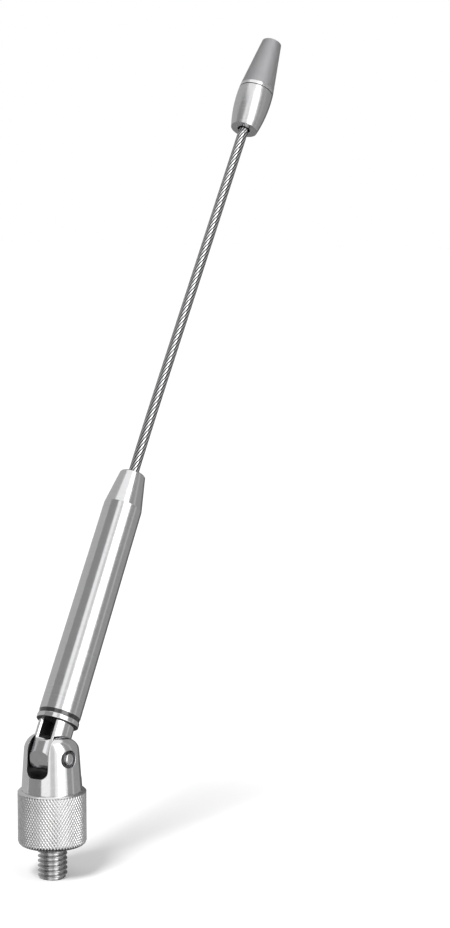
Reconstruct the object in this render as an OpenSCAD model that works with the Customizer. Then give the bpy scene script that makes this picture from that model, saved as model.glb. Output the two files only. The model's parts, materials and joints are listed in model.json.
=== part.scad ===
// Short car mast aerial on a tilting knuckle: threaded stud, knurled collar, slotted fork,
// hinge pin, metal mast tube with a loading coil inside, stranded steel cable and turned tip.
// The origin is on the stud's axis, on the face of the collar that seats on the car.
// The fork's slot opens towards -Y, the hinge pin lies along X, and the mast leans towards +Y.

/* [Stud] */
// Outside diameter of the stud's thread
stud_d = 6; // [4:0.5:7]
// Length of stud below the collar
stud_out = 7; // [4:0.5:14]
// Length of stud screwed into the fork's shank
stud_grip = 5.5; // [3:0.5:6]
// How far the gripped threads lie below the outside diameter, on the radius
stud_core_step = 0.25; // [0.2:0.05:0.4]
// Height above the collar's lower face at which the gripped threads begin
stud_core_rise = 0.5; // [0.2:0.1:0.5]
// Chamfer on the stud's lower end
stud_chamfer = 0.6; // [0.2:0.1:1]

/* [Collar] */
// Diameter over the knurl
collar_d = 14; // [13.5:0.5:20]
// Height of the collar
collar_h = 11.3; // [10:0.1:15]
// Wall of the collar round the fork's shank
collar_wall = 2.5; // [1.5:0.1:3]
// Thickness of the collar's floor round the stud
collar_floor = 3; // [2:0.5:4]
// Width of the shallow relief round the stud in the collar's lower face
relief_w = 0.9; // [0.9:0.1:1.2]
// Depth of that relief
relief_depth = 0.7; // [0.6:0.1:1]
// Chamfer on the collar's upper edge
collar_top_chamfer = 0.45; // [0.1:0.05:0.6]
// Rounding of the collar's lower edge
collar_low_round = 1.1; // [0.3:0.1:2]

/* [Fork] */
// Diameter of the fork where it stands on the collar
fork_d = 12.4; // [11.8:0.1:12.8]
// Narrowing of the fork's radius for each millimetre of height
fork_taper = 0.07; // [0:0.01:0.1]
// Width of the slot for the knuckle's tongue
slot_w = 5; // [4.6:0.1:5.4]
// Depth of the slot below the hinge pin
slot_depth = 3.8; // [3.8:0.1:4.4]
// Rounding of the slot's two lower corners
slot_round = 1.6; // [0.6:0.1:1.6]
// Radius of the ears' round tops about the hinge pin
ear_r = 4.3; // [4:0.1:4.5]
// Height of the rear ledge below the hinge pin, which lets the mast fold flat
ledge_drop = 4.8; // [4.7:0.1:5.5]
// Fillet between the ledge and the backs of the ears
ledge_fillet = 0.8; // [0.2:0.1:1]

/* [Hinge pin] */
// Height of the hinge pin above the collar
pin_rise = 7.2; // [7:0.1:9]
// Distance of the hinge pin in front of the stud's axis
pin_forward = 1.7; // [1.2:0.1:2]
// Diameter of the hinge pin
pin_d = 2.4; // [2:0.1:2.6]
// How far the pin's domed ends stand out of the ears
pin_stand = 0.3; // [0:0.05:0.5]
// Height of each dome
pin_dome = 0.4; // [0.2:0.05:0.6]
// Diameter of the round recess in each ear
recess_d = 3.6; // [3.2:0.1:4]
// Depth of the recess below the ear's surface
recess_depth = 0.85; // [0.6:0.05:1.2]
// Thickness of the retaining rings in the recesses
ring_t = 0.4; // [0.2:0.05:0.5]
// Thickness of the friction washers beside the tongue
washer_t = 0.28; // [0.2:0.02:0.4]
// Diameter of the friction washers
washer_d = 4.2; // [3.6:0.1:4.3]

/* [Knuckle] */
// Lean of the mast from upright, as it stands
lean = 32; // [20:1:45]
// Radius of the tongue's round end
tongue_r = 3; // [2.6:0.1:3]
// Distance of the flat under the tongue from the pin
tongue_flat = 2.2; // [2:0.1:2.6]
// Diameter of the knuckle's stem
stem_d = 7.4; // [7:0.1:7.4]
// Height of the flange's lower face above the pin, along the mast
flange_rise = 7.1; // [6.8:0.1:9]
// Diameter of the flange
flange_d = 8.8; // [8.6:0.1:9]
// Thickness of the flange
flange_t = 1.15; // [0.8:0.05:2]
// Edge chamfer of the flange
flange_chamfer = 0.15; // [0.05:0.05:0.3]
// Width of the groove in the front of the stem
groove_w = 2.9; // [2:0.1:3.2]
// How far the groove reaches behind the mast's axis
groove_reach = 1; // [0:0.1:1.5]
// Radius about the pin at which the groove ends
groove_end_r = 4.2; // [3.8:0.1:4.6]
// Chamfer along the groove's edges
groove_chamfer = 0.5; // [0.1:0.1:0.6]

/* [Spigot and insulation] */
// Diameter of the spigot that enters the tube
spigot_d = 5.76; // [5:0.1:5.9]
// Length of the spigot above the flange
spigot_len = 7.2; // [5:0.1:10]
// Diameter of the black insulating ring
ring_d = 8.5; // [8:0.1:8.8]
// Height of the insulating ring that shows
ring_h = 0.8; // [0.4:0.1:2]

/* [Mast tube] */
// Outside diameter of the tube at its foot
tube_d = 8.7; // [8.4:0.1:9]
// Outside diameter of the tube at its top
tube_top_d = 8.2; // [7.9:0.1:8.6]
// Wall of the tube at its foot
tube_wall = 0.95; // [0.7:0.05:1]
// Length of the tube
tube_len = 46.6; // [38:0.1:80]
// Length of the turned nose above the tube
nose_len = 7.8; // [6:0.1:12]
// Diameter of the nose's top
nose_top_d = 5.5; // [5:0.1:6]
// Edge chamfer on the nose's top
nose_chamfer = 0.25; // [0.1:0.05:0.4]
// Length of the nose's spigot inside the tube
nose_spigot = 4; // [3:0.5:6]
// Thickness of metal over the bush at the nose's top
nose_wall = 1.8; // [1.2:0.1:2.5]

/* [Loading coil] */
// Diameter of the coil former's core
former_d = 4.4; // [3.6:0.1:4.8]
// Thickness of each cheek of the former
cheek_t = 1; // [0.6:0.1:1.5]
// Diameter of the coil's wire
wire_d = 0.5; // [0.4:0.05:0.6]
// Number of turns on the former
turns = 36; // [12:1:40]
// Thickness of the two brass contacts
contact_t = 0.8; // [0.5:0.1:1.2]
// Diameter of the lower contact's pin
contact_pin_d = 1.8; // [1.2:0.1:2.2]
// Length of the lower contact's pin
contact_pin_len = 4; // [2:0.5:4.5]

/* [Cable] */
// Diameter over the outer wires
cable_d = 2.2; // [1.8:0.1:2.3]
// Length of cable between the nose and the tip
cable_len = 87.5; // [50:0.5:200]
// Length in which the outer wires turn once round
cable_lay = 17; // [10:1:24]
// Extra lean that the cable has taken above the nose
cable_set = 1.7; // [0.5:0.1:6]
// Length above the nose over which it takes that lean
cable_bend = 20; // [8:1:30]
// Diameter of the crimped ferrule in the nose
ferrule_d = 3.4; // [3:0.1:3.4]
// Length of that ferrule
ferrule_len = 10.5; // [8:0.5:11]
// Length of cable inside that ferrule
ferrule_grip = 9; // [5:0.5:9.5]
// Wall of the insulating bush round the ferrule
bush_wall = 0.48; // [0.3:0.02:0.5]
// Thickness of the bush's upper end
bush_cap = 0.8; // [0.4:0.1:1]

/* [Tip] */
// Whole length of the tip
tip_len = 24; // [18:0.5:30]
// Length of the tip's lower body, up to the seam
tip_low_len = 10.1; // [8.5:0.1:11]
// Widest diameter of the tip
tip_d = 8; // [7.5:0.1:9]
// Height of the widest place above the lower end
tip_wide_at = 8.2; // [6:0.1:9]
// Diameter of the tip's lower end
tip_low_d = 6; // [5.6:0.1:6.4]
// Diameter of the tip's top
tip_top_d = 4.5; // [4:0.1:5]
// Rise of the tip's domed top
tip_dome = 0.45; // [0.2:0.05:0.8]
// Height of the bright band over the seam
band_h = 0.8; // [0.4:0.1:1]
// Depth of the groove at the seam
seam_depth = 0.12; // [0.06:0.02:0.2]
// Height of the groove at the seam
seam_h = 0.2; // [0.1:0.05:0.3]
// Diameter of the hole for the cable
tip_hole_d = 2.9; // [2.6:0.1:3]
// Thickness of metal under the tip's ferrule
tip_floor = 2.4; // [1.5:0.1:3]
// Diameter of the ferrule in the tip
tip_ferrule_d = 3.8; // [3.4:0.1:4.2]
// Length of the ferrule in the tip
tip_ferrule_len = 3.5; // [2.5:0.1:4]
// Diameter of the cap's threaded spigot
cap_spigot_d = 5; // [4.4:0.1:5.4]

/* [Fits] */
// Radial gap of a piece pressed, screwed or glued in place
fit = 0.02; // [0.01:0.01:0.04]
// Radial gap of the hinge pin in the tongue
running = 0.02; // [0.01:0.01:0.05]
// Gap between the tongue's shoulders and the ears
shoulder_gap = 0.2; // [0.1:0.05:0.4]
// Radial gap round the cable where it leaves the nose
cable_gap = 0.25; // [0.1:0.05:0.3]

/* [Hidden] */
$fn = 64;

// Reach of a cutting shape past the metal that it cuts
past = 1;
// Height and side of the base
pin_z = collar_h + pin_rise;
shank_d = collar_d - 2 * collar_wall;
fork_top = pin_z + ear_r;
fork_r = fork_d / 2;
fork_top_r = fork_r - fork_taper * (fork_top - collar_h);
fork_pin_r = fork_r - fork_taper * pin_rise;
ear_face = sqrt(pow(fork_pin_r, 2) - pow(pin_forward, 2));
recess_floor = ear_face - recess_depth;
pin_reach = ear_face + pin_stand;
pin_hole_r = pin_d / 2 + fit;
tongue_half = slot_w / 2 - washer_t - running;
shoulder_r = ear_r + shoulder_gap;
stem_r = stem_d / 2;
// Heights along the mast, from the hinge pin
flange_top = flange_rise + flange_t;
tube_foot = flange_top + ring_h;
tube_top = tube_foot + tube_len;
spigot_top = flange_top + spigot_len;
former_foot = spigot_top + contact_t;
nose_top = tube_top + nose_len;
bush_top = nose_top - nose_wall;
ferrule_top = bush_top - bush_cap;
ferrule_foot = ferrule_top - ferrule_len;
former_top = ferrule_foot - contact_t;
cable_foot = ferrule_top - ferrule_grip;
bore_r = tube_d / 2 - tube_wall;
bush_r = ferrule_d / 2 + fit + bush_wall;
cable_r = cable_d / 2;
// The tip, from its lower end
tip_r = tip_d / 2;
ferrule_seat = tip_floor + tip_ferrule_len;
belly_r = (pow(tip_wide_at, 2) + pow(tip_r - tip_low_d / 2, 2)) / (tip_d - tip_low_d);
seam_r = belly_at(tip_low_len);
// The cable has nineteen wires, five across: twelve show, and each is drawn by four points
outer_wires = 12;
cable_wire_r = cable_r / 5;
wire_ring_r = cable_r - cable_wire_r;
points_per_wire = 4;
ring_points = outer_wires * points_per_wire;
wire_angle = 360 / outer_wires;
rings_per_lay = 12;

// Radius of the tip's round belly at a height above its lower end
function belly_at(h) = tip_r - belly_r + sqrt(pow(belly_r, 2) - pow(h - tip_wide_at, 2));

// Where the cable's middle runs above the nose: length s gives [y, z, lean]
bend_r = cable_bend * 180 / (PI * cable_set);
function bend_angle(s) = cable_set * min(max(s, 0), cable_bend) / cable_bend;
function past_bend(s) = max(s - cable_bend, 0);
function cable_y(s) = bend_r * (1 - cos(bend_angle(s))) + past_bend(s) * sin(cable_set);
function cable_z(s) =
    nose_top + min(s, 0) + bend_r * sin(bend_angle(s)) + past_bend(s) * cos(cable_set);

// Outline of the cable's outer wires, by the angle from the nearest wire's middle
function wire_edge(a) =
    wire_ring_r * cos(a) + sqrt(max(pow(cable_wire_r, 2) - pow(wire_ring_r * sin(a), 2), 0));
function wire_offset(a) = a - wire_angle * round(a / wire_angle);

// Puts a piece of the mast, drawn upright from the hinge pin, at the mast's lean
module on_mast() {
    translate([0, -pin_forward, pin_z]) rotate([-lean, 0, 0]) children();
}

// Puts a piece of the tip, drawn upright from its lower end, on the end of the cable
module on_cable_end() {
    on_mast() translate([0, cable_y(cable_len), cable_z(cable_len)]) rotate([-cable_set, 0, 0])
        children();
}

// Turns an outline drawn in Y and Z into a solid centred across X
module across(width) {
    rotate([90, 0, 90]) linear_extrude(height = width, center = true) children();
}

// A plain round piece from height z0 to z1
module round_piece(r, z0, z1) {
    translate([0, 0, z0]) cylinder(r = r, h = z1 - z0);
}

// A flat ring at height z0
module flat_ring(outer_r, inner_r, z0, z1) {
    difference() {
        round_piece(outer_r, z0, z1);
        round_piece(inner_r, z0 - past, z1 + past);
    }
}

module threaded_stud() {
    color("silver") {
        rotate_extrude() polygon([
            [0, -stud_out],
            [stud_d / 2 - stud_chamfer, -stud_out],
            [stud_d / 2, -stud_out + stud_chamfer],
            [stud_d / 2, stud_core_rise],
            [stud_d / 2 - stud_core_step, stud_core_rise],
            [stud_d / 2 - stud_core_step, collar_floor + stud_grip],
            [0, collar_floor + stud_grip]
        ]);
    }
}

module collar_outline() {
    r = collar_d / 2;
    difference() {
        polygon([
            [0, 0],
            [r, 0],
            [r, collar_h - collar_top_chamfer],
            [r - collar_top_chamfer, collar_h],
            [0, collar_h]
        ]);
        translate([r - collar_low_round, -past])
            square([collar_low_round + past, collar_low_round + past]);
    }
    intersection() {
        translate([r - collar_low_round, collar_low_round]) circle(r = collar_low_round);
        translate([r - collar_low_round, 0]) square(collar_low_round);
    }
}

module knurled_collar() {
    color("lightgray") difference() {
        rotate_extrude() collar_outline();
        round_piece(stud_d / 2 + fit, -past, collar_floor + past);
        round_piece(stud_d / 2 + relief_w, -past, relief_depth);
        round_piece(shank_d / 2 + fit, collar_floor, collar_h + past);
    }
}

// Side view of the fork: round ears about the pin, open to a low ledge at the back
module ear_outline() {
    wide = collar_d;
    back = ear_r - pin_forward;
    ledge_z = pin_z - ledge_drop;
    translate([-wide / 2, collar_floor - past]) square([wide, ledge_z - collar_floor + past]);
    translate([-wide / 2, ledge_z - past]) square([wide / 2 + back, pin_z - ledge_z + past]);
    translate([-pin_forward, pin_z]) circle(r = ear_r);
    difference() {
        translate([back - past, ledge_z - past]) square(past + ledge_fillet);
        translate([back + ledge_fillet, ledge_z + ledge_fillet]) circle(r = ledge_fillet);
        translate([back, ledge_z + ledge_fillet]) square(ledge_fillet);
    }
}

// Front view of the slot, with its rounded lower corners
module slot_outline() {
    low = pin_z - slot_depth;
    half = slot_w / 2;
    translate([-half, low + slot_round]) square([slot_w, slot_depth + ear_r + past]);
    translate([-half + slot_round, low]) square([slot_w - 2 * slot_round, slot_round + past]);
    for (side = [-1, 1])
        translate([side * (half - slot_round), low + slot_round]) circle(r = slot_round);
}

// Everything that the hinge pin and its rings need out of the ears
module pin_cuts() {
    translate([0, -pin_forward, pin_z]) rotate([0, 90, 0]) {
        round_piece(pin_hole_r, -collar_d / 2, collar_d / 2);
        for (side = [0, 1]) mirror([0, 0, side])
            round_piece(recess_d / 2, recess_floor, collar_d / 2);
    }
}

module fork() {
    color("gainsboro") difference() {
        intersection() {
            union() {
                translate([0, 0, collar_h])
                    cylinder(r1 = fork_r, r2 = fork_top_r, h = fork_top - collar_h);
                round_piece(shank_d / 2, collar_floor, collar_h + past);
            }
            across(collar_d) ear_outline();
        }
        rotate([90, 0, 0]) linear_extrude(height = collar_d, center = true) slot_outline();
        pin_cuts();
        round_piece(stud_d / 2 - stud_core_step + fit, collar_floor - past,
            collar_floor + stud_grip);
    }
}

// One half of the pin's outline, with a domed end
module half_pin() {
    dome_r = (pow(pin_d / 2, 2) + pow(pin_dome, 2)) / (2 * pin_dome);
    square([pin_d / 2, pin_reach - pin_dome]);
    intersection() {
        translate([0, pin_reach - dome_r]) circle(r = dome_r);
        translate([0, pin_reach - 2 * pin_dome]) square([pin_d / 2, 2 * pin_dome]);
    }
}

module hinge_pin() {
    color("whitesmoke") translate([0, -pin_forward, pin_z]) rotate([0, 90, 0]) rotate_extrude() {
        half_pin();
        mirror([0, 1]) half_pin();
    }
}

// The two rings that hold the pin, one in each ear's recess
module retaining_rings() {
    color("silver") translate([0, -pin_forward, pin_z]) rotate([0, 90, 0])
        for (side = [0, 1]) mirror([0, 0, side])
            flat_ring(recess_d / 2 - fit, pin_hole_r, recess_floor, recess_floor + ring_t);
}

// The two washers that grip the tongue
module friction_washers() {
    color("dimgray") translate([0, -pin_forward, pin_z]) rotate([0, 90, 0])
        for (side = [0, 1]) mirror([0, 0, side])
            flat_ring(washer_d / 2, pin_hole_r, slot_w / 2 - washer_t, slot_w / 2);
}

// Side view of the tongue: a round end about the pin that runs up into the stem
module tongue_outline() {
    wide = stem_r + past;
    rotate(-90) circle(r = tongue_r);
    polygon([[0, 0], [-wide, past / 2], [past / 2 - tongue_r, -tongue_flat / 2]]);
    translate([-wide, 0]) square([2 * wide, flange_rise]);
}

// Side view of the stem over the ears: round in front, and square behind to fold flat
module shoulder_outline() {
    wide = stem_r + past;
    difference() {
        translate([-wide, 0]) square([2 * wide, flange_rise]);
        circle(r = shoulder_r);
        translate([pin_d / 2, -past]) square([wide, shoulder_r + past]);
    }
}

// Plan of the groove in the front of the stem, with chamfered edges
module groove_plan() {
    half = groove_w / 2;
    edge_y = sqrt(pow(stem_r, 2) - pow(half, 2)) - groove_chamfer;
    wide = half + 2 * groove_chamfer;
    polygon([
        [-half, groove_reach],
        [half, groove_reach],
        [half, -edge_y],
        [wide, -edge_y - 2 * groove_chamfer],
        [-wide, -edge_y - 2 * groove_chamfer],
        [-half, -edge_y]
    ]);
}

// The stem, cut to the side views of its tongue and shoulder, with the groove in its front
// and a flat under the tongue that lies level at the mast's lean
module knuckle_stem() {
    difference() {
        intersection() {
            round_piece(stem_r, -tongue_r - past, flange_rise);
            union() {
                across(2 * tongue_half) tongue_outline();
                across(collar_d) shoulder_outline();
            }
        }
        difference() {
            linear_extrude(height = flange_rise + past) groove_plan();
            rotate([0, 90, 0]) cylinder(r = groove_end_r, h = collar_d, center = true);
        }
        rotate([0, 90, 0]) cylinder(r = pin_d / 2 + running, h = collar_d, center = true);
        rotate([lean, 0, 0]) translate([-stem_r, -stem_r, -tongue_flat - stem_r])
            cube([stem_d, stem_d, stem_r]);
    }
}

// The flange with the spigot for the tube, bored for the lower contact's pin
module knuckle_head() {
    pin_r = contact_pin_d / 2 + fit;
    pin_foot = spigot_top - contact_pin_len - fit;
    rotate_extrude() polygon([
        [0, flange_rise],
        [flange_d / 2 - flange_chamfer, flange_rise],
        [flange_d / 2, flange_rise + flange_chamfer],
        [flange_d / 2, flange_top - flange_chamfer],
        [flange_d / 2 - flange_chamfer, flange_top],
        [spigot_d / 2, flange_top],
        [spigot_d / 2, spigot_top],
        [pin_r, spigot_top],
        [pin_r, pin_foot],
        [0, pin_foot]
    ]);
}

module knuckle() {
    color("gainsboro") on_mast() {
        knuckle_stem();
        knuckle_head();
    }
}

module insulating_bush() {
    color("black") on_mast() difference() {
        union() {
            round_piece(ring_d / 2, flange_top, tube_foot);
            round_piece(bore_r - fit, tube_foot, spigot_top);
        }
        round_piece(spigot_d / 2 + fit, flange_top - past, spigot_top + past);
    }
}

module mast_tube() {
    color("silver") on_mast() difference() {
        translate([0, 0, tube_foot])
            cylinder(r1 = tube_d / 2, r2 = tube_top_d / 2, h = tube_len);
        round_piece(bore_r, tube_foot - past, tube_top + past);
    }
}

module lower_contact() {
    color("goldenrod") on_mast() {
        round_piece(former_d / 2, spigot_top, former_foot);
        round_piece(contact_pin_d / 2, spigot_top - contact_pin_len, spigot_top);
    }
}

module coil_former() {
    color("ivory") on_mast() {
        round_piece(former_d / 2, former_foot, former_top);
        round_piece(bore_r - fit, former_foot, former_foot + cheek_t);
        round_piece(bore_r - fit, ferrule_foot - contact_t - cheek_t, former_top);
    }
}

// Close turns of wire, drawn as rings that lap each other
module loading_coil() {
    pitch = 0.96 * wire_d;
    room = former_top - former_foot - 2 * cheek_t - wire_d;
    laid = min(turns, floor(room / pitch));
    middle = (former_top + former_foot) / 2;
    lay_r = former_d / 2 + fit + wire_d / 2;
    color("peru") on_mast() rotate_extrude()
        for (turn = [0 : laid - 1])
            translate([lay_r, middle + (turn - (laid - 1) / 2) * pitch]) circle(d = wire_d);
}

module upper_contact() {
    color("goldenrod") on_mast() round_piece(former_d / 2, former_top, ferrule_foot);
}

module cable_ferrule() {
    color("darkgray") on_mast() difference() {
        round_piece(ferrule_d / 2, ferrule_foot, ferrule_top);
        round_piece(cable_r + fit, cable_foot, ferrule_top + past);
    }
}

module nose_bush() {
    color("ivory") on_mast() difference() {
        round_piece(bush_r, tube_top - nose_spigot, bush_top);
        round_piece(ferrule_d / 2 + fit, tube_top - nose_spigot - past, ferrule_top);
        round_piece(cable_r + cable_gap, ferrule_top - past, bush_top + past);
    }
}

module nose_cone() {
    color("silver") on_mast() difference() {
        rotate_extrude() polygon([
            [0, tube_top - nose_spigot],
            [bore_r - fit, tube_top - nose_spigot],
            [bore_r - fit, tube_top],
            [tube_top_d / 2, tube_top],
            [nose_top_d / 2, nose_top - nose_chamfer],
            [nose_top_d / 2 - nose_chamfer, nose_top],
            [0, nose_top]
        ]);
        round_piece(bush_r + fit, tube_top - nose_spigot - past, bush_top);
        round_piece(cable_r + cable_gap, bush_top - past, nose_top + past);
    }
}

// The stranded cable, swept ring by ring along its slightly bent line
module cable() {
    start = cable_foot - nose_top;
    end = cable_len + ferrule_seat;
    rings = ceil((end - start) / cable_lay * rings_per_lay);
    step = (end - start) / rings;
    spots = [
        for (i = [0 : rings]) let (s = start + i * step, lie = bend_angle(s))
            for (j = [0 : ring_points - 1])
                let (
                    a = j * 360 / ring_points,
                    turn = a + 360 * s / cable_lay,
                    edge = wire_edge(wire_offset(a)),
                    across_x = edge * cos(turn),
                    along_y = edge * sin(turn)
                )
                [across_x, cable_y(s) + along_y * cos(lie), cable_z(s) - along_y * sin(lie)]
    ];
    sides = [
        for (i = [0 : rings - 1]) for (j = [0 : ring_points - 1])
            let (
                here = i * ring_points + j,
                next = i * ring_points + (j + 1) % ring_points,
                over = here + ring_points,
                over_next = next + ring_points
            )
            each [[here, over, over_next], [here, over_next, next]]
    ];
    foot = [for (j = [0 : ring_points - 1]) j];
    head = [for (j = [ring_points - 1 : -1 : 0]) rings * ring_points + j];
    color("slategray") on_mast() polyhedron(points = spots, faces = concat([foot], sides, [head]));
}

module tip_ferrule() {
    color("darkgray") on_cable_end()
        flat_ring(tip_ferrule_d / 2, cable_r + fit, tip_floor, ferrule_seat);
}

module tip_lower() {
    color("silver") on_cable_end() difference() {
        rotate_extrude() intersection() {
            translate([tip_r - belly_r, tip_wide_at]) circle(r = belly_r, $fn = 256);
            polygon([
                [0, 0],
                [tip_d, 0],
                [tip_d, tip_low_len - seam_h],
                [seam_r - seam_depth, tip_low_len - seam_h],
                [seam_r - seam_depth, tip_low_len],
                [0, tip_low_len]
            ]);
        }
        round_piece(tip_hole_d / 2, -past, tip_floor + past);
        round_piece(tip_ferrule_d / 2 + fit, tip_floor, ferrule_seat + past);
        round_piece(cap_spigot_d / 2 + fit, ferrule_seat, tip_low_len + past);
    }
}

// The cap's outline: a bright band, a long cone and a low domed top
module cap_outline() {
    top_r = tip_top_d / 2;
    dome_r = (pow(top_r, 2) + pow(tip_dome, 2)) / (2 * tip_dome);
    polygon([
        [0, ferrule_seat],
        [cap_spigot_d / 2, ferrule_seat],
        [cap_spigot_d / 2, tip_low_len],
        [seam_r, tip_low_len],
        [seam_r - seam_depth / 2, tip_low_len + band_h],
        [top_r, tip_len - tip_dome],
        [0, tip_len - tip_dome]
    ]);
    intersection() {
        translate([0, tip_len - dome_r]) circle(r = dome_r, $fn = 128);
        translate([0, tip_len - 2 * tip_dome]) square([top_r, 2 * tip_dome]);
    }
}

module tip_cap() {
    color("silver") on_cable_end() rotate_extrude() cap_outline();
}

threaded_stud();
knurled_collar();
fork();
hinge_pin();
retaining_rings();
friction_washers();
knuckle();
insulating_bush();
mast_tube();
lower_contact();
coil_former();
loading_coil();
upper_contact();
cable_ferrule();
nose_bush();
nose_cone();
cable();
tip_ferrule();
tip_lower();
tip_cap();
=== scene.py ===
"""Looks of a short car mast aerial: a satin mast tube and tip, a polished tilting knuckle,
a knurled collar, a rolled stud thread and a steel wire cable, in a plain white studio."""

import json
import math

import bpy
from mathutils import Matrix, Vector


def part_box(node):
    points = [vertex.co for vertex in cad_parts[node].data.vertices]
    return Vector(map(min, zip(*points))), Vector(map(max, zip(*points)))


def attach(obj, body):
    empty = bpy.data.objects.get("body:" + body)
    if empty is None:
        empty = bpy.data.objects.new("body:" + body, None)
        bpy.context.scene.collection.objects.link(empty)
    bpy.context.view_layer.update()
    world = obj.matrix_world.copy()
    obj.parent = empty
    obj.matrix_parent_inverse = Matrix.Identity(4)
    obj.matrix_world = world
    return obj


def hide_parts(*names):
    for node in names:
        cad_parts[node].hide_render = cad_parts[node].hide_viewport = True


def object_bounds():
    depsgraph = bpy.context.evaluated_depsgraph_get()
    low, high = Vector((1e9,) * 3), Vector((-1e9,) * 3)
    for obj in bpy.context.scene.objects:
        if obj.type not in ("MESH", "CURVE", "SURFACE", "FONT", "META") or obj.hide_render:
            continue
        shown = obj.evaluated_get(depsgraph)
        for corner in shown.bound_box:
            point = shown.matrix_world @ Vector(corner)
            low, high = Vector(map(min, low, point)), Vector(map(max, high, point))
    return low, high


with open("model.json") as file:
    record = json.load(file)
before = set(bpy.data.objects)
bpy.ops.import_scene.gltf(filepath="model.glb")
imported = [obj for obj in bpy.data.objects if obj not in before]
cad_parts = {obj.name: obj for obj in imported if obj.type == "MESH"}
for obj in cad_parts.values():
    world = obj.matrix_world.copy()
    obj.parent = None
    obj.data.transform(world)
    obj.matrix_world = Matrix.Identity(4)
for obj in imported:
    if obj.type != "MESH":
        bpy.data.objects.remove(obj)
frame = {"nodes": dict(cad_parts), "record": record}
CAD_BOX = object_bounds()

MM = 0.001
NODES = frame["nodes"]
TILT = frame["record"]["behaviour"]["joints"][0]
PIN = Vector(TILT["pos_m"])
LEAN = math.radians(-TILT["range_deg"][0])
MAST_FRAME = Matrix.Translation(PIN) @ Matrix.Rotation(-LEAN, 4, "X")
BASE_FRAME = Matrix.Identity(4)

# The camera, fitted to the photograph. Its place is given from the hinge pin, in metres
IMAGE_HEIGHT_PX = 928
FOCAL_PX = 2446
SENSOR_MM = 24
CAMERA_AZIMUTH = math.radians(33.62)
CAMERA_ELEVATION = math.radians(13.5)
CAMERA_DISTANCE = 0.4987
AIM_YAW = math.radians(29.37)
AIM_PITCH = math.radians(-6.72)
NEAREST = 0.01
FARTHEST = 20


def direction(azimuth, elevation):
    """A unit vector turned to the right of the fork's front, and raised above level."""
    return Vector((
        math.sin(azimuth) * math.cos(elevation),
        -math.cos(azimuth) * math.cos(elevation),
        math.sin(elevation),
    ))


def add_camera():
    """A camera that sees the aerial as the photograph does."""
    data = bpy.data.cameras.new("camera")
    data.sensor_fit = "VERTICAL"
    data.sensor_height = SENSOR_MM
    data.lens = FOCAL_PX / IMAGE_HEIGHT_PX * SENSOR_MM
    data.clip_start = NEAREST
    data.clip_end = FARTHEST
    camera = bpy.data.objects.new("camera", data)
    bpy.context.scene.collection.objects.link(camera)
    camera.location = PIN + CAMERA_DISTANCE * direction(CAMERA_AZIMUTH, CAMERA_ELEVATION)
    camera.rotation_euler = (math.pi / 2 + AIM_PITCH, 0, AIM_YAW)
    bpy.context.scene.camera = camera


add_camera()


# Shader helpers

VALUE = "NodeSocketFloat"
VECTOR = "NodeSocketVector"


def new_tree(name):
    """A fresh material with its tree's nodes, links and main shader."""
    material = bpy.data.materials.new(name)
    material.use_nodes = True
    tree = material.node_tree
    return material, tree.nodes, tree.links, tree.nodes["Principled BSDF"]


def new_group(name, inputs, outputs):
    """An empty shader group, with a name and a kind for each input and output."""
    group = bpy.data.node_groups.new(name, "ShaderNodeTree")
    for label, kind in inputs:
        group.interface.new_socket(label, in_out="INPUT", socket_type=kind)
    for label, kind in outputs:
        group.interface.new_socket(label, in_out="OUTPUT", socket_type=kind)
    way_in = group.nodes.new("NodeGroupInput")
    way_out = group.nodes.new("NodeGroupOutput")
    return group, group.nodes, group.links, way_in, way_out


def is_socket(value):
    """Whether a value is a node's socket, and not a plain number, vector or colour."""
    return hasattr(value, "is_output")


def feed(links, value, socket):
    """Links a value that is a socket, and sets one that is plain."""
    if is_socket(value):
        links.new(value, socket)
    else:
        socket.default_value = value


def use_group(nodes, links, group, **values):
    """Places a shader group and feeds the inputs that are named."""
    node = nodes.new("ShaderNodeGroup")
    node.node_tree = group
    for label, value in values.items():
        feed(links, value, node.inputs[label])
    return node


def math_node(nodes, links, operation, first, second):
    """A Math node on two values, each a socket or a number."""
    node = nodes.new("ShaderNodeMath")
    node.operation = operation
    for socket, value in zip(node.inputs, (first, second)):
        feed(links, value, socket)
    return node.outputs[0]


def vector_node(nodes, links, operation, *values):
    """A Vector Math node on one or two vectors."""
    node = nodes.new("ShaderNodeVectorMath")
    node.operation = operation
    for socket, value in zip(node.inputs, values):
        feed(links, value, socket)
    return node.outputs[0]


def spread(nodes, links, value, low, high):
    """A value from 0 to 1 spread from low to high."""
    node = nodes.new("ShaderNodeMapRange")
    node.inputs["To Min"].default_value = low
    node.inputs["To Max"].default_value = high
    links.new(value, node.inputs["Value"])
    return node.outputs["Result"]


def blend_colours(nodes, links, factor, first, second):
    """A colour that goes from the first to the second with the factor."""
    mix = nodes.new("ShaderNodeMix")
    mix.data_type = "RGBA"
    links.new(factor, mix.inputs["Factor"])
    for label, colour in (("A", first), ("B", second)):
        feed(links, colour if is_socket(colour) else (*colour, 1), mix.inputs[label])
    return mix.outputs["Result"]


def place_in(nodes, links, home):
    """Object coordinates in a piece's own frame, so that Z runs along the piece."""
    place = nodes.new("ShaderNodeTexCoord").outputs["Object"]
    turn = nodes.new("ShaderNodeMapping")
    turn.vector_type = "TEXTURE"
    turn.inputs["Location"].default_value = home.to_translation()
    turn.inputs["Rotation"].default_value = home.to_euler()
    links.new(place, turn.inputs["Vector"])
    return turn.outputs["Vector"]


# Effects that several materials share

# Each size of tool line: its output, how much finer it is, and the detail of its noise
LINE_SIZES = (("Lines", 1.0, 4.0), ("Fine", 3.7, 2.0))
SMEAR_DETAIL = 5.0
SMEAR_WARP = 0.6
# The noise's levels where a smear starts and where it is full
SMEAR_START = 0.38
SMEAR_FULL = 0.72


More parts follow.
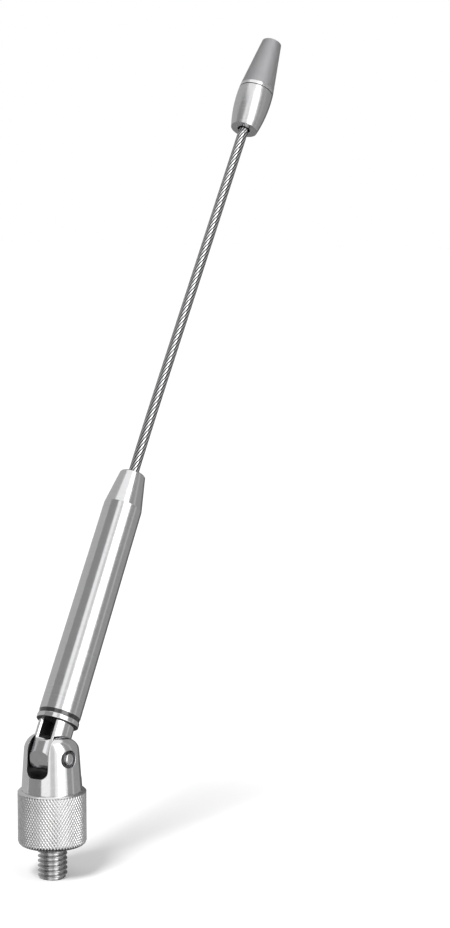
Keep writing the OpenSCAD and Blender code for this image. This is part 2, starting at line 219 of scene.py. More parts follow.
def tool_line_group():
    """Fine lines left by a tool: noise squeezed by a scale for each direction."""
    group, nodes, links, way_in, way_out = new_group(
        "tool_lines",
        [("Place", VECTOR), ("Scale", VECTOR), ("Contrast", VALUE)],
        [("Lines", VALUE), ("Fine", VALUE)],
    )
    squeezed = vector_node(nodes, links, "MULTIPLY", way_in.outputs["Place"],
                           way_in.outputs["Scale"])
    for label, zoom, detail in LINE_SIZES:
        noise = nodes.new("ShaderNodeTexNoise")
        noise.inputs["Scale"].default_value = zoom
        noise.inputs["Detail"].default_value = detail
        links.new(squeezed, noise.inputs["Vector"])
        centred = math_node(nodes, links, "SUBTRACT", noise.outputs["Fac"], 0.5)
        strong = math_node(nodes, links, "MULTIPLY", centred, way_in.outputs["Contrast"])
        links.new(math_node(nodes, links, "ADD", strong, 0.5), way_out.inputs[label])
    return group


def handling_group():
    """Faint marks of handling: broad smears that dull the gloss and the tone."""
    group, nodes, links, way_in, way_out = new_group(
        "handling_marks",
        [("Place", VECTOR), ("Size", VALUE), ("Amount", VALUE)],
        [("Dull", VALUE), ("Tone", VALUE)],
    )
    smear = nodes.new("ShaderNodeTexNoise")
    smear.inputs["Detail"].default_value = SMEAR_DETAIL
    smear.inputs["Distortion"].default_value = SMEAR_WARP
    links.new(way_in.outputs["Place"], smear.inputs["Vector"])
    links.new(way_in.outputs["Size"], smear.inputs["Scale"])
    shaped = nodes.new("ShaderNodeValToRGB")
    shaped.color_ramp.elements[0].position = SMEAR_START
    shaped.color_ramp.elements[1].position = SMEAR_FULL
    links.new(smear.outputs["Fac"], shaped.inputs["Fac"])
    dull = math_node(nodes, links, "MULTIPLY", shaped.outputs["Color"], way_in.outputs["Amount"])
    links.new(dull, way_out.inputs["Dull"])
    links.new(math_node(nodes, links, "SUBTRACT", 1.0, dull), way_out.inputs["Tone"])
    return group


def zone_group():
    """A box in a piece's frame: 1 inside it and 0 outside."""
    group, nodes, links, way_in, way_out = new_group(
        "zone",
        [("Place", VECTOR), ("Middle", VECTOR), ("Half", VECTOR)],
        [("Inside", VALUE)],
    )
    offset = vector_node(nodes, links, "SUBTRACT", way_in.outputs["Place"],
                         way_in.outputs["Middle"])
    away = vector_node(nodes, links, "ABSOLUTE", offset)
    reach = nodes.new("ShaderNodeSeparateXYZ")
    limit = nodes.new("ShaderNodeSeparateXYZ")
    links.new(away, reach.inputs[0])
    links.new(way_in.outputs["Half"], limit.inputs[0])
    inside = 1.0
    for axis in "XYZ":
        within = math_node(nodes, links, "LESS_THAN", reach.outputs[axis], limit.outputs[axis])
        inside = math_node(nodes, links, "MULTIPLY", within, inside)
    links.new(inside, way_out.inputs["Inside"])
    return group


TOOL_LINES = tool_line_group()
HANDLING = handling_group()
ZONE = zone_group()

# How far a metal's edges are eased
EASED = 0.08 * MM
ROUNDED = 0.18 * MM
SHARP = 0
EDGE_SAMPLES = 6
# How quickly a metal's tone reaches its full colour, and its darkest share of it
TONE_GAIN = 1.6
METAL_DARKEST = 0.88
METAL_MARK_SCALE = 260.0
RELIEF_HEIGHT = 0.2 * MM
PLASTIC_DARKEST = 0.8
PLASTIC_MARK_SCALE = 420.0
PLASTIC_MARKS = 0.15


def metal(name, colour, roughness, lines, contrast=1.2, relief=0.03, home=MAST_FRAME,
          marks=0.06, gloss_range=0.06, edge=EASED, zones=()):
    """A worked metal: tool lines in its gloss and relief, faint marks, and eased edges.

    A zone is a box in the piece's frame where the metal has another colour and gloss, for painted
    shade
    or a band of another finish: its middle and half sizes in millimetres, its colour and its
    roughness.
    """
    material, nodes, links, shader = new_tree(name)
    shader.inputs["Metallic"].default_value = 1.0
    place = place_in(nodes, links, home)
    worked = use_group(nodes, links, TOOL_LINES, Place=place, Scale=lines, Contrast=contrast)
    handled = use_group(nodes, links, HANDLING, Place=place, Size=METAL_MARK_SCALE,
                        Amount=marks)
    tone = math_node(nodes, links, "MULTIPLY", worked.outputs["Lines"], handled.outputs["Tone"])
    factor = math_node(nodes, links, "MULTIPLY", tone, TONE_GAIN)
    dark = [METAL_DARKEST * part for part in colour]
    shade = blend_colours(nodes, links, factor, dark, colour)
    gloss = spread(nodes, links, worked.outputs["Lines"], roughness - gloss_range / 2,
                   roughness + gloss_range / 2)
    rough = math_node(nodes, links, "ADD", gloss, handled.outputs["Dull"])
    for middle, half, zone_colour, zone_roughness in zones:
        mask = use_group(nodes, links, ZONE, Place=place, Middle=Vector(middle) * MM,
                         Half=Vector(half) * MM).outputs["Inside"]
        shade = blend_colours(nodes, links, mask, shade, zone_colour)
        change = math_node(nodes, links, "MULTIPLY", mask, zone_roughness - roughness)
        rough = math_node(nodes, links, "ADD", rough, change)
    links.new(shade, shader.inputs["Base Color"])
    links.new(rough, shader.inputs["Roughness"])
    bump = nodes.new("ShaderNodeBump")
    bump.inputs["Strength"].default_value = relief
    bump.inputs["Distance"].default_value = RELIEF_HEIGHT
    links.new(worked.outputs["Fine"], bump.inputs["Height"])
    if edge:
        eased = nodes.new("ShaderNodeBevel")
        eased.samples = EDGE_SAMPLES
        eased.inputs["Radius"].default_value = edge
        links.new(eased.outputs["Normal"], bump.inputs["Normal"])
    links.new(bump.outputs["Normal"], shader.inputs["Normal"])
    return material


def plastic(name, colour, roughness, home=MAST_FRAME, ior=1.5):
    """A moulded plastic with a faint flow pattern in its colour and gloss."""
    material, nodes, links, shader = new_tree(name)
    shader.inputs["IOR"].default_value = ior
    place = place_in(nodes, links, home)
    handled = use_group(nodes, links, HANDLING, Place=place, Size=PLASTIC_MARK_SCALE,
                        Amount=PLASTIC_MARKS)
    worn = [PLASTIC_DARKEST * part for part in colour]
    links.new(blend_colours(nodes, links, handled.outputs["Tone"], worn, colour),
              shader.inputs["Base Color"])
    links.new(math_node(nodes, links, "ADD", handled.outputs["Dull"], roughness),
              shader.inputs["Roughness"])
    return material


# The line that the cable and the tip follow, in millimetres
NOSE_TOP = 63.45
CABLE_SET = math.radians(1.7)
CABLE_BEND = 20.0
CABLE_LEN = 87.5
TIP_SEAM = 10.1
TIP_BAND = 0.8


def cable_middle(along):
    """Where the cable's middle lies at a length above the nose, and its extra lean there."""
    radius = CABLE_BEND / CABLE_SET
    lie = CABLE_SET * min(max(along, 0), CABLE_BEND) / CABLE_BEND
    beyond = max(along - CABLE_BEND, 0)
    y = radius * (1 - math.cos(lie)) + beyond * math.sin(CABLE_SET)
    z = NOSE_TOP + min(along, 0) + radius * math.sin(lie) + beyond * math.cos(CABLE_SET)
    return Vector((0, y, z)), lie


TIP_FRAME = (MAST_FRAME @ Matrix.Translation(cable_middle(CABLE_LEN)[0] * MM)
             @ Matrix.Rotation(-CABLE_SET, 4, "X"))

# Boxes where a metal changes, measured from the pin: the knuckle's groove, painted dark as the
# shade in it, and its flange's lower face, painted dark as the shadow under the flange; and from
# the tip's foot, the tip's seam and the bright band over it
# A dark grey painted as shade in recesses: the knuckle's groove and the fork's slot
RECESS_SHADE_GREY = (0.16, 0.16, 0.165)
WHOLE = 9
# The knuckle's groove: dark grey and dull, painted as the shade inside it
GROOVE_SHADE_ZONE = ((0, 0, 5.1), (1.47, 2.92, 2.02), RECESS_SHADE_GREY, 0.5)
# The flange's lower face: a painted shadow line under the flange
FLANGE_SHADOW_ZONE = ((0, 0, 7.1), (WHOLE, WHOLE, 0.1), (0.08, 0.08, 0.085), 0.5)
SEAM_ZONE = ((0, 0, TIP_SEAM - 0.1), (WHOLE, WHOLE, 0.11), (0.06, 0.06, 0.06), 0.5)
BAND_ZONE = ((0, 0, TIP_SEAM + TIP_BAND / 2), (WHOLE, WHOLE, TIP_BAND / 2 + 0.02),
             (0.86, 0.86, 0.87), 0.2)

# How closely the tool lines lie, to the metre, across X, Y and Z of the piece
TURNED = (90.0, 90.0, 7000.0)
TURNED_COARSE = (60.0, 60.0, 2600.0)
DRAWN = (5200.0, 5200.0, 60.0)
BRUSHED = (2400.0, 2400.0, 110.0)
POLISHED = (900.0, 900.0, 900.0)

SATIN = metal("satin_aluminium", (0.84, 0.84, 0.85), 0.13, TURNED)
SATIN_CAP = metal("satin_cap", (0.50, 0.50, 0.51), 0.60, BRUSHED, contrast=1.5, relief=0.10,
                  home=TIP_FRAME, gloss_range=0.14, zones=(BAND_ZONE,))
SATIN_TIP = metal("satin_tip", (0.78, 0.78, 0.79), 0.22, TURNED, contrast=1.4, relief=0.05,
                  home=TIP_FRAME, zones=(SEAM_ZONE,))
POLISH = metal("polished_metal", (0.86, 0.86, 0.87), 0.10, POLISHED, contrast=1.0,
               relief=0.006, marks=0.04, gloss_range=0.03, edge=ROUNDED,
               zones=(GROOVE_SHADE_ZONE, FLANGE_SHADOW_ZONE))
POLISH_BASE = metal("polished_fork", (0.86, 0.86, 0.87), 0.12, POLISHED, contrast=1.0,
                    relief=0.006, home=BASE_FRAME, marks=0.04, gloss_range=0.03,
                    edge=ROUNDED)
# The fork's slot: milled tool lines on a dark grey painted as the shade inside the slot
SLOT_SHADE = metal("slot_painted_shade", RECESS_SHADE_GREY, 0.3, TURNED_COARSE, relief=0.05,
               home=BASE_FRAME, edge=ROUNDED)
KNURLED = metal("knurled_aluminium", (0.87, 0.87, 0.87), 0.22, POLISHED, contrast=1.4,
                relief=0.10, home=BASE_FRAME, edge=SHARP)
STUD_STEEL = metal("stud_steel", (0.62, 0.62, 0.62), 0.18, TURNED_COARSE, relief=0.08,
                   home=BASE_FRAME, edge=SHARP)
PIN_STEEL = metal("pin_steel", (0.84, 0.84, 0.84), 0.16, POLISHED, home=BASE_FRAME)
# The retaining ring's steel, painted dark as the shade of its recess
RING_SHADE_STEEL = metal("ring_steel_painted_shade", (0.18, 0.18, 0.19), 0.3, POLISHED, home=BASE_FRAME)
CABLE_STEEL = metal("cable_steel", (0.90, 0.90, 0.91), 0.10, DRAWN, relief=0.0,
                    marks=0.04, edge=SHARP)
# Painted shade for the grooves between the wires
CABLE_GROOVE_SHADE = metal("cable_groove_shade", (0.05, 0.05, 0.052), 0.4, DRAWN, relief=0.0,
                   marks=0.04, edge=SHARP)
FERRULE_STEEL = metal("ferrule_steel", (0.55, 0.55, 0.55), 0.35, TURNED_COARSE,
                      contrast=1.0, relief=0.1)
BRASS = metal("contact_brass", (0.78, 0.62, 0.32), 0.28, TURNED_COARSE, contrast=1.0,
              relief=0.08)
COPPER = metal("coil_wire", (0.72, 0.38, 0.20), 0.30, TURNED_COARSE, contrast=1.0,
               relief=0.02)
BLACK = plastic("black_plastic", (0.008, 0.008, 0.009), 0.08, ior=2.0)
WASHER = plastic("washer_plastic", (0.05, 0.05, 0.05), 0.4, home=BASE_FRAME)
WHITE = plastic("white_plastic", (0.82, 0.81, 0.77), 0.4)

FINISHES = {
    "threaded_stud": STUD_STEEL,
    "knurled_collar": KNURLED,
    "fork": POLISH_BASE,
    "hinge_pin": PIN_STEEL,
    "retaining_rings": RING_SHADE_STEEL,
    "friction_washers": WASHER,
    "knuckle": POLISH,
    "insulating_bush": BLACK,
    "mast_tube": SATIN,
    "lower_contact": BRASS,
    "coil_former": WHITE,
    "loading_coil": COPPER,
    "upper_contact": BRASS,
    "cable_ferrule": FERRULE_STEEL,
    "nose_bush": WHITE,
    "nose_cone": SATIN,
    "cable": CABLE_STEEL,
    "tip_ferrule": FERRULE_STEEL,
    "tip_lower": SATIN_TIP,
    "tip_cap": SATIN_CAP,
}


def paint(node, material):
    """Gives a CAD node its material without touching its mesh."""
    piece = NODES[node]
    if not piece.material_slots:
        piece.data.materials.append(None)
    for slot in piece.material_slots:
        slot.link = "OBJECT"
        slot.material = material


for node_name, finish in FINISHES.items():
    paint(node_name, finish)


# Pieces that need more detail than their solids have

def skin(name, rings, closed=False, capped=False, crease=40):
    """A mesh skinned over rings of points, all with the same count.

    It is smooth where it turns by less than the crease, in degrees.
    """
    count = len(rings[0])
    points = [point for ring in rings for point in ring]
    last = len(rings) if closed else len(rings) - 1
    faces = []
    for row in range(last):
        here = row * count
        over = (row + 1) % len(rings) * count
        for column in range(count):
            beside = (column + 1) % count
            faces.append((here + column, here + beside, over + beside, over + column))
    if capped:
        faces.append(tuple(reversed(range(count))))
        faces.append(tuple(range(len(points) - count, len(points))))
    mesh = bpy.data.meshes.new(name)
    mesh.from_pydata(points, [], faces)
    smooth(mesh, crease)
    return mesh


def smooth(mesh, crease):
    """Shades a mesh smooth, with its edges sharp beyond the crease."""
    mesh.polygons.foreach_set("use_smooth", [True] * len(mesh.polygons))
    mesh.set_sharp_from_angle(angle=math.radians(crease))


def add_piece(name, mesh, body, node, material):
    """Puts a detailed mesh in place of a CAD node, on that node's body."""
    piece = bpy.data.objects.new(name, mesh)
    bpy.context.scene.collection.objects.link(piece)
    mesh.materials.append(material)
    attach(piece, body)
    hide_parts(node)


def level_ring(radii, height):
    """A ring of points about the stud's axis, one for each radius in millimetres."""
    count = len(radii)
    return [
        Vector((
            radius * math.cos(2 * math.pi * i / count),
            radius * math.sin(2 * math.pi * i / count),
            height,
        )) * MM
        for i, radius in enumerate(radii)
    ]


# The collar, in millimetres
COLLAR_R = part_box("knurled_collar")[1][0] / MM
COLLAR_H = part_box("knurled_collar")[1][2] / MM
COLLAR_LOW_ROUND = 1.1
LOW_ROUND_STEPS = 8
COLLAR_CHAMFER = 0.3
COLLAR_BORE = 4.52
COLLAR_FLOOR = 3.0
STUD_BORE = 3.02
RELIEF_R = 3.9
RELIEF_H = 0.7
# Its knurl: the diamonds round it, their height, the depth of the grooves between them, half
# a groove's width as a share of the spacing, and the height over which the knurl runs out
KNURLS_ROUND = 68
KNURL_RISE = 1.0
KNURL_DEPTH = 0.18
KNURL_GROOVE_HALF = 0.42
KNURL_FOOT = 0.5
POINTS_PER_KNURL = 8


def knurl_cut(turn, height):
    """Depth of the two crossing sets of grooves, from 0 on a crest to 1 in a groove."""
    cut = 0.0
    for side in (-1, 1):
        phase = turn * KNURLS_ROUND + side * height / KNURL_RISE
        away = abs(phase - round(phase))
        cut = max(cut, 1 - min(1.0, away / KNURL_GROOVE_HALF))
    return cut


def collar_ring(radius, height, strength=0):
    """One ring of the collar, plain or with the knurl at the strength given."""
    count = KNURLS_ROUND * POINTS_PER_KNURL
    return level_ring([
        radius - strength * KNURL_DEPTH * knurl_cut(i / count, height) for i in range(count)
    ], height)


def add_collar():
    """The collar with its diamond knurl between the rounded foot and the chamfered top."""
    rings = [collar_ring(RELIEF_R, RELIEF_H), collar_ring(RELIEF_R, 0)]
    for i in range(LOW_ROUND_STEPS):
        angle = math.pi / 2 * i / LOW_ROUND_STEPS
        radius = COLLAR_R - COLLAR_LOW_ROUND * (1 - math.sin(angle))
        height = COLLAR_LOW_ROUND * (1 - math.cos(angle))
        rings.append(collar_ring(radius, height, min(1.0, height / KNURL_FOOT)))
    band = COLLAR_H - COLLAR_CHAMFER - COLLAR_LOW_ROUND
    rows = round(band / KNURL_RISE * POINTS_PER_KNURL)
    for i in range(rows):
        rings.append(collar_ring(COLLAR_R, COLLAR_LOW_ROUND + band * i / rows, 1))
    for radius, height in (
        (COLLAR_R, COLLAR_H - COLLAR_CHAMFER), (COLLAR_R - COLLAR_CHAMFER, COLLAR_H),
        (COLLAR_BORE, COLLAR_H), (COLLAR_BORE, COLLAR_FLOOR),
        (STUD_BORE, COLLAR_FLOOR), (STUD_BORE, RELIEF_H),
    ):
        rings.append(collar_ring(radius, height))
    mesh = skin("collar_knurl", rings, closed=True, crease=50)
    add_piece("collar_knurl", mesh, "base", "knurled_collar", KNURLED)


# The stud and its rolled thread, in millimetres
STUD_R = 3.0
STUD_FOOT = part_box("threaded_stud")[0][2] / MM
STUD_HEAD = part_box("threaded_stud")[1][2] / MM
STUD_CHAMFER = 0.6
THREAD_TOP = 0.45
THREAD_PITCH = 1.0
THREAD_DEPTH = 0.65
GRIPPED_R = 2.75
STUD_COLUMNS = 120
ROWS_PER_PITCH = 24
# Shares of half a pitch: from the crest to the root's edge, and across the flank
ROOT_EDGE = 0.66
FLANK_WIDTH = 0.52
# How much of the flank's shape is straight. The rest is eased at both ends
FLANK_STRAIGHT = 0.7


def thread_radius(turn, height):
    """Radius of a right-hand metric thread with a flat crest and a rounded root."""
    phase = height / THREAD_PITCH - turn
    away = 2 * abs(phase - round(phase))
    share = min(1.0, max(0.0, (ROOT_EDGE - away) / FLANK_WIDTH))
    eased = share * share * (3 - 2 * share)
    flank = FLANK_STRAIGHT * share + (1 - FLANK_STRAIGHT) * eased
    return STUD_R - THREAD_DEPTH * (1 - flank)


def add_stud():
    """The stud: rolled thread below the collar, chamfered end, plain core inside."""
    rings = []
    rows = round((THREAD_TOP - STUD_FOOT) / THREAD_PITCH * ROWS_PER_PITCH)
    for row in range(rows + 1):
        height = STUD_FOOT + (THREAD_TOP - STUD_FOOT) * row / rows
        widest = STUD_R - STUD_CHAMFER + (height - STUD_FOOT)
        rings.append(level_ring([
            min(widest, thread_radius(i / STUD_COLUMNS, height)) for i in range(STUD_COLUMNS)
        ], height))
    for height in (THREAD_TOP, STUD_HEAD):
        rings.append(level_ring([GRIPPED_R] * STUD_COLUMNS, height))
    mesh = skin("stud_thread", rings, capped=True, crease=60)
    add_piece("stud_thread", mesh, "base", "threaded_stud", STUD_STEEL)


# The cable, in millimetres: twelve outer wires show, drawn down to a nearly round strand
CABLE_R = 1.1
CABLE_LAY = 17.0
CABLE_START = -11.6
CABLE_END = 93.4
OUTER_WIRES = 12
STEPS_PER_LAY = 36
POINTS_PER_WIRE = 8
# The groove between two wires: its depth, the power that shapes it, and how many of its faces are
# painted dark as shade
WIRE_GROOVE = 0.11
GROOVE_SHAPE = 6
GROOVE_SHADE_FACES = 4


def strand_ring(along):
    """One ring of the strand: round over each wire's crown, with a groove between wires."""
    middle, lie = cable_middle(along)
    side = Vector((1, 0, 0))
    back = Vector((0, math.cos(lie), -math.sin(lie)))
    count = OUTER_WIRES * POINTS_PER_WIRE
    ring = []
    for i in range(count):
        share = i / POINTS_PER_WIRE
        away = 2 * abs(share - round(share))
        radius = CABLE_R - WIRE_GROOVE * away ** GROOVE_SHAPE
        turn = 2 * math.pi * (i / count + along / CABLE_LAY)
        point = middle + radius * (side * math.cos(turn) + back * math.sin(turn))
        ring.append(MAST_FRAME @ (point * MM))
    return ring


def add_cable():
    """The cable's strand, swept along its slightly bent line, with its grooves painted dark as
    shade.
    """
    steps = round((CABLE_END - CABLE_START) / CABLE_LAY * STEPS_PER_LAY)
    rings = [
        strand_ring(CABLE_START + (CABLE_END - CABLE_START) * step / steps)
        for step in range(steps + 1)
    ]
    mesh = skin("cable_wires", rings, capped=True, crease=70)
    add_piece("cable_wires", mesh, "mast", "cable", CABLE_STEEL)
    # The faces deep in each groove take the painted shade
    mesh.materials.append(CABLE_GROOVE_SHADE)
    groove = (POINTS_PER_WIRE - 1) / 2
    for i, face in enumerate(mesh.polygons):
        face.material_index = int(abs(i % POINTS_PER_WIRE - groove) < GROOVE_SHADE_FACES / 2)


# The fork, in millimetres: a turned body with a domed top, slotted for the tongue
PIN_Y = PIN.y / MM
PIN_Z = PIN.z / MM
EAR_R = 4.3
EAR_STEPS = 48
SHANK_R = 4.5
SHANK_FOOT = 3.0
FORK_FOOT = 11.3
FORK_FOOT_R = 6.2
FORK_TAPER = 0.07
FORK_TOP = PIN_Z + EAR_R
FORK_DOME_Z = 19.5
FORK_DOME_IN = 3.0
FORK_DOME_STEPS = 24
FORK_COLUMNS = 160
FORK_CREASE = 30
LEDGE_Z = 13.7
LEDGE_FILLET = 0.8
LEDGE_STEPS = 8
SLOT_HALF = 2.5
SLOT_LOW = 14.7
SLOT_ROUND = 1.6
SLOT_STEPS = 12
SLOT_MARGIN = 0.01
CUT_FOOT = 2.0
CUT_REACH = 9.0

# The hinge pin, its hole, and the recess and ring round its right end, in millimetres
PIN_R = 1.2
PIN_LEFT = -4.85
PIN_CHAMFER = 0.1
PIN_DOME_X = 5.33
PIN_DOME = 0.4
PIN_DOME_STEPS = 10
PIN_DOME_END = math.radians(88)
PIN_COLUMNS = 48
PIN_HOLE_R = 1.22
RECESS_R = 1.8
RECESS_X = 4.586
RING_T = 0.4
RING_OUTER_R = RECESS_R - 0.02
# The ring's section: each corner's radius, and its height over the recess's floor
RING_SECTION = (
    (PIN_HOLE_R, 0),
    (RING_OUTER_R, 0),
    (RING_OUTER_R, RING_T),
    (RING_OUTER_R - 0.12, RING_T + 0.06),
    (PIN_HOLE_R + 0.1, RING_T),
    (PIN_HOLE_R, RING_T - 0.08),
)
# The smallest circle that closes the pin's left end
PIN_POINT_R = 0.02


def arc(middle, radius, first, last, steps):
    """Points along an arc between two angles in degrees."""
    points = []
    for step in range(steps + 1):
        angle = math.radians(first + (last - first) * step / steps)
        points.append((middle[0] + radius * math.cos(angle), middle[1] + radius * math.sin(angle)))
    return points


def pin_circle(radius):
    """Points in Y and Z round the hinge pin."""
    last = 360 * (PIN_COLUMNS - 1) / PIN_COLUMNS
    return arc((PIN_Y, PIN_Z), radius, 0, last, PIN_COLUMNS - 1)


def pin_ring(radius, x):
    """A ring of points about the hinge pin."""
    return [Vector((x, y, z)) * MM for y, z in pin_circle(radius)]


def prism(outline, across, low, high):
    """A closed mesh with an outline in Y and Z carried along X, or in X and Z along Y."""
    rings = []
    for reach in (low, high):
        if across == "X":
            rings.append([Vector((reach, u, v)) * MM for u, v in outline])
        else:
            rings.append([Vector((u, reach, v)) * MM for u, v in reversed(outline)])
    return skin("cutter", rings, capped=True)


def carve(name, body, cuts):
    """A body after its cuts, each an operation and the mesh that it uses."""
    piece = bpy.data.objects.new(name, body)
    bpy.context.scene.collection.objects.link(piece)
    tools = []
    for operation, mesh in cuts:
        tool = bpy.data.objects.new("cutter", mesh)
        bpy.context.scene.collection.objects.link(tool)
        modifier = piece.modifiers.new("cut", "BOOLEAN")
        modifier.operation = operation
        modifier.solver = "EXACT"
        modifier.object = tool
        tools.append(tool)
    bpy.context.view_layer.update()
    settled = piece.evaluated_get(bpy.context.evaluated_depsgraph_get())
    mesh = bpy.data.meshes.new_from_object(settled)
    mesh.name = name
    for spare in [piece] + tools:
        bpy.data.objects.remove(spare)
    return mesh


def fork_body():
    """The fork as it is turned: shank, slightly tapered body and domed top."""
    levels = [(SHANK_FOOT, SHANK_R), (FORK_FOOT, SHANK_R), (FORK_FOOT, FORK_FOOT_R)]
    side_r = FORK_FOOT_R - FORK_TAPER * (FORK_DOME_Z - FORK_FOOT)
    for step in range(FORK_DOME_STEPS + 1):
        turn = math.pi / 2 * step / FORK_DOME_STEPS
        height = FORK_DOME_Z + (FORK_TOP - FORK_DOME_Z) * math.sin(turn)
        levels.append((height, side_r - FORK_DOME_IN * (1 - math.cos(turn))))
    rings = [level_ring([radius] * FORK_COLUMNS, height) for height, radius in levels]
    return skin("fork_body", rings, capped=True)


def ear_sides():
    """Side view of the fork: round ears about the pin and a low ledge behind them."""
    fillet = (PIN_Y + EAR_R + LEDGE_FILLET, LEDGE_Z + LEDGE_FILLET)
    outline = [(CUT_REACH, CUT_FOOT), (CUT_REACH, LEDGE_Z)]
    outline += arc(fillet, LEDGE_FILLET, 270, 180, LEDGE_STEPS)
    outline += arc((PIN_Y, PIN_Z), EAR_R, 0, 180, EAR_STEPS)
    outline += [(-CUT_REACH, PIN_Z), (-CUT_REACH, CUT_FOOT)]
    return prism(outline, "X", -CUT_REACH, CUT_REACH)


def slot_cutter():
    """The slot for the tongue, with its round bottom. It opens at the fork's top."""
    low = SLOT_LOW + SLOT_ROUND
    side = SLOT_HALF - SLOT_ROUND
    outline = [(-SLOT_HALF, FORK_TOP + 1)]
    outline += arc((-side, low), SLOT_ROUND, 180, 270, SLOT_STEPS)
    outline += arc((side, low), SLOT_ROUND, 270, 360, SLOT_STEPS)
    outline += [(SLOT_HALF, FORK_TOP + 1)]
    return prism(outline, "Y", -CUT_REACH, CUT_REACH)


def pin_cutter(radius, low, high):
    """A round hole along the hinge pin."""
    return prism(pin_circle(radius), "X", low, high)


def add_fork():
    """The fork, carved from its turned body, with its slot's faces painted dark as shade."""
    mesh = carve("fork_turned", fork_body(), [
        ("INTERSECT", ear_sides()),
        ("DIFFERENCE", slot_cutter()),
        ("DIFFERENCE", pin_cutter(PIN_HOLE_R, -CUT_REACH, CUT_REACH)),
        ("DIFFERENCE", pin_cutter(RECESS_R, RECESS_X, CUT_REACH)),
    ])
    mesh.materials.clear()
    add_piece("fork_turned", mesh, "base", "fork", POLISH_BASE)
    # The faces inside the slot take the painted shade
    mesh.materials.append(SLOT_SHADE)
    for face in mesh.polygons:
        inside = abs(face.center.x) < (SLOT_HALF + SLOT_MARGIN) * MM
        face.material_index = int(inside and face.center.z > (SLOT_LOW - SLOT_MARGIN) * MM)
    smooth(mesh, FORK_CREASE)


def add_pin():
    """The hinge pin as a rivet: a domed head in the right ear, about flush in the left one."""
    rings = [pin_ring(PIN_POINT_R, PIN_LEFT), pin_ring(PIN_R - PIN_CHAMFER, PIN_LEFT),
             pin_ring(PIN_R, PIN_LEFT + PIN_CHAMFER)]
    for step in range(PIN_DOME_STEPS + 1):
        turn = PIN_DOME_END * step / PIN_DOME_STEPS
        rings.append(pin_ring(PIN_R * math.cos(turn), PIN_DOME_X + PIN_DOME * math.sin(turn)))
    mesh = skin("rivet", rings, capped=True)
    add_piece("rivet", mesh, "base", "hinge_pin", PIN_STEEL)


def add_ring():
    """The retaining ring in the right ear's recess, with a small turned lip, its steel painted
    dark as the recess's shade.
    """
    rings = [pin_ring(radius, RECESS_X + height) for radius, height in RING_SECTION]
    mesh = skin("rivet_ring", rings, closed=True)
    add_piece("rivet_ring", mesh, "base", "retaining_rings", RING_SHADE_STEEL)


add_collar()
add_stud()
add_cable()
add_fork()
add_pin()
add_ring()


# The studio: white floor and world, soft lamps, and grey cards that only polish shows

FLOOR_Z = CAD_BOX[0][2] - 0.02 * MM
FLOOR_HALF = 4.0
FLOOR_PALE = (0.8, 0.8, 0.8, 1)
FLOOR_ROUGHNESS = 0.9
WHITE_LIGHT = (1, 1, 1, 1)
# What the floor adds to its white where it is looked at, and how strongly the world lights
FLOOR_LIFT = 0.08
FILL = 0.55
SUN_AZIMUTH = math.radians(4.5)
SUN_ELEVATION = math.radians(50)
SUN_STRENGTH = 2.7
SUN_ANGLE = math.radians(19)
CARD_RADIUS = 1.0
CARD_LOW = -1.2
CARD_HIGH = 1.8
CARD_STEP_DEGREES = 4
# Each card: its sides' azimuths from the camera, in degrees to the right, at its foot and
# at its head, and its grey
CARDS = {
    "card_far_left": (-180, -102, -180, -102, 0.46),
    "card_left": (-101, -46, -101, -32, 0.28),
    "card_middle": (-6, 12, -6, 12, 0.66),
    "card_right": (64, 84, 54, 84, 0.32),
    "card_right_gap": (84, 92, 84, 92, 0.50),
    "card_far_right": (92, 136, 92, 136, 0.32),
    "card_back_right": (136, 180, 136, 180, 0.14),
}
DISC_RADIUS = 1.3
DISC_SIDES = 48
DISC_GREY = 0.03


def seen_directly(nodes, links):
    """1 for what the camera, polish and glass see, and 0 for what is only lit."""
    path = nodes.new("ShaderNodeLightPath")
    seen = math_node(nodes, links, "MAXIMUM", path.outputs["Is Camera Ray"],
                     path.outputs["Is Glossy Ray"])
    return math_node(nodes, links, "MAXIMUM", seen, path.outputs["Is Transmission Ray"])


def set_world():
    """White where it is looked at, and a soft grey fill for what it lights."""
    world = bpy.data.worlds.new("studio")
    world.use_nodes = True
    bpy.context.scene.world = world
    nodes = world.node_tree.nodes
    links = world.node_tree.links
    shade = nodes["Background"]
    shade.inputs["Color"].default_value = WHITE_LIGHT
    seen = seen_directly(nodes, links)
    links.new(spread(nodes, links, seen, FILL, 1.0), shade.inputs["Strength"])


def stage_object(name, mesh, material):
    """An object of the studio that isn't part of the aerial."""
    mesh.materials.append(material)
    piece = bpy.data.objects.new(name, mesh)
    bpy.context.scene.collection.objects.link(piece)
    return piece


def add_floor():
    """A white floor that keeps the aerial's soft shadow."""
    mesh = bpy.data.meshes.new("floor")
    corners = [(-1, -1), (1, -1), (1, 1), (-1, 1)]
    mesh.from_pydata([(x * FLOOR_HALF, y * FLOOR_HALF, FLOOR_Z) for x, y in corners], [],
                     [(0, 1, 2, 3)])
    material, nodes, links, shader = new_tree("floor_white")
    shader.inputs["Base Color"].default_value = FLOOR_PALE
    shader.inputs["Roughness"].default_value = FLOOR_ROUGHNESS
    shader.inputs["Specular IOR Level"].default_value = 0.0
    shader.inputs["Emission Color"].default_value = WHITE_LIGHT
    seen = seen_directly(nodes, links)
    links.new(spread(nodes, links, seen, 0.0, FLOOR_LIFT), shader.inputs["Emission Strength"])
    floor = stage_object("floor", mesh, material)
    floor.visible_glossy = False


def curved_card(name, low_first, low_last, high_first, high_last):
    """The mesh of a tall card that curves round the aerial."""
    steps = max(2, round((low_last - low_first) / CARD_STEP_DEGREES))
    spots = []
    for step in range(steps + 1):
        for first, last, height in (
            (low_first, low_last, CARD_LOW), (high_first, high_last, CARD_HIGH)
        ):
            turn = math.radians(first + (last - first) * step / steps) + CAMERA_AZIMUTH
            spots.append((CARD_RADIUS * math.sin(turn), -CARD_RADIUS * math.cos(turn), height))
    faces = [(2 * i, 2 * i + 2, 2 * i + 3, 2 * i + 1) for i in range(steps)]
    mesh = bpy.data.meshes.new(name)
    mesh.from_pydata(spots, [], faces)
    return mesh


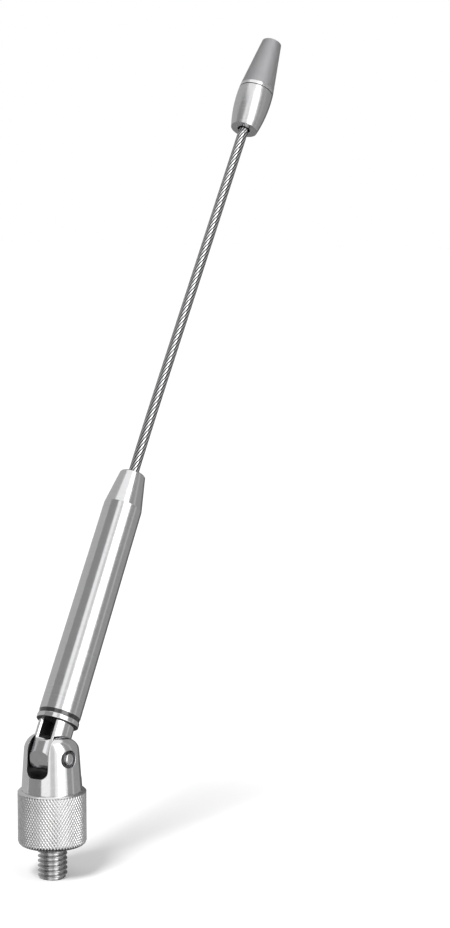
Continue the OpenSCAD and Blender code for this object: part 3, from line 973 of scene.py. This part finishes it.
def low_disc(name):
    """The mesh of a disc far below, which only what faces down shows in its polish."""
    turns = [2 * math.pi * i / DISC_SIDES for i in range(DISC_SIDES)]
    ring = [(DISC_RADIUS * math.cos(turn), DISC_RADIUS * math.sin(turn), CARD_LOW)
            for turn in turns]
    mesh = bpy.data.meshes.new(name)
    mesh.from_pydata(ring, [], [tuple(range(DISC_SIDES))])
    return mesh


def add_card(name, mesh, grey):
    """A card of an even grey, seen only in what is polished."""
    material, *_, shader = new_tree(name)
    shader.inputs["Base Color"].default_value = (0, 0, 0, 1)
    shader.inputs["Specular IOR Level"].default_value = 0.0
    shader.inputs["Emission Color"].default_value = (grey, grey, grey, 1)
    shader.inputs["Emission Strength"].default_value = 1.0
    card = stage_object(name, mesh, material)
    card.visible_camera = False
    card.visible_diffuse = False
    card.visible_shadow = False
    card.visible_transmission = False


def add_strip(azimuth, elevation, width, height, radiance):
    """A tall soft lamp a metre away beside the camera, for a bright band along the mast."""
    data = bpy.data.lights.new("strip", "AREA")
    data.shape = "RECTANGLE"
    data.size = width
    data.size_y = height
    data.energy = radiance * math.pi * width * height
    lamp = bpy.data.objects.new("strip", data)
    bpy.context.scene.collection.objects.link(lamp)
    away = direction(math.radians(azimuth) + CAMERA_AZIMUTH, math.radians(elevation))
    lamp.location = away
    lamp.rotation_euler = away.to_track_quat("Z", "Y").to_euler()
    lamp.visible_camera = False


def add_sun():
    """The main soft lamp, which casts the aerial's shadow back along the floor."""
    data = bpy.data.lights.new("sun", "SUN")
    data.energy = SUN_STRENGTH
    data.angle = SUN_ANGLE
    sun = bpy.data.objects.new("sun", data)
    bpy.context.scene.collection.objects.link(sun)
    away = direction(SUN_AZIMUTH, SUN_ELEVATION)
    sun.rotation_euler = away.to_track_quat("Z", "Y").to_euler()
    sun.visible_glossy = False


set_world()
add_floor()
for card_name, (*sides, card_grey) in CARDS.items():
    add_card(card_name, curved_card(card_name, *sides), card_grey)
add_card("card_below", low_disc("card_below"), DISC_GREY)
add_strip(azimuth=37, elevation=25, width=0.50, height=1.7, radiance=1.45)
add_sun()

bpy.context.scene.view_settings.view_transform = "Standard"
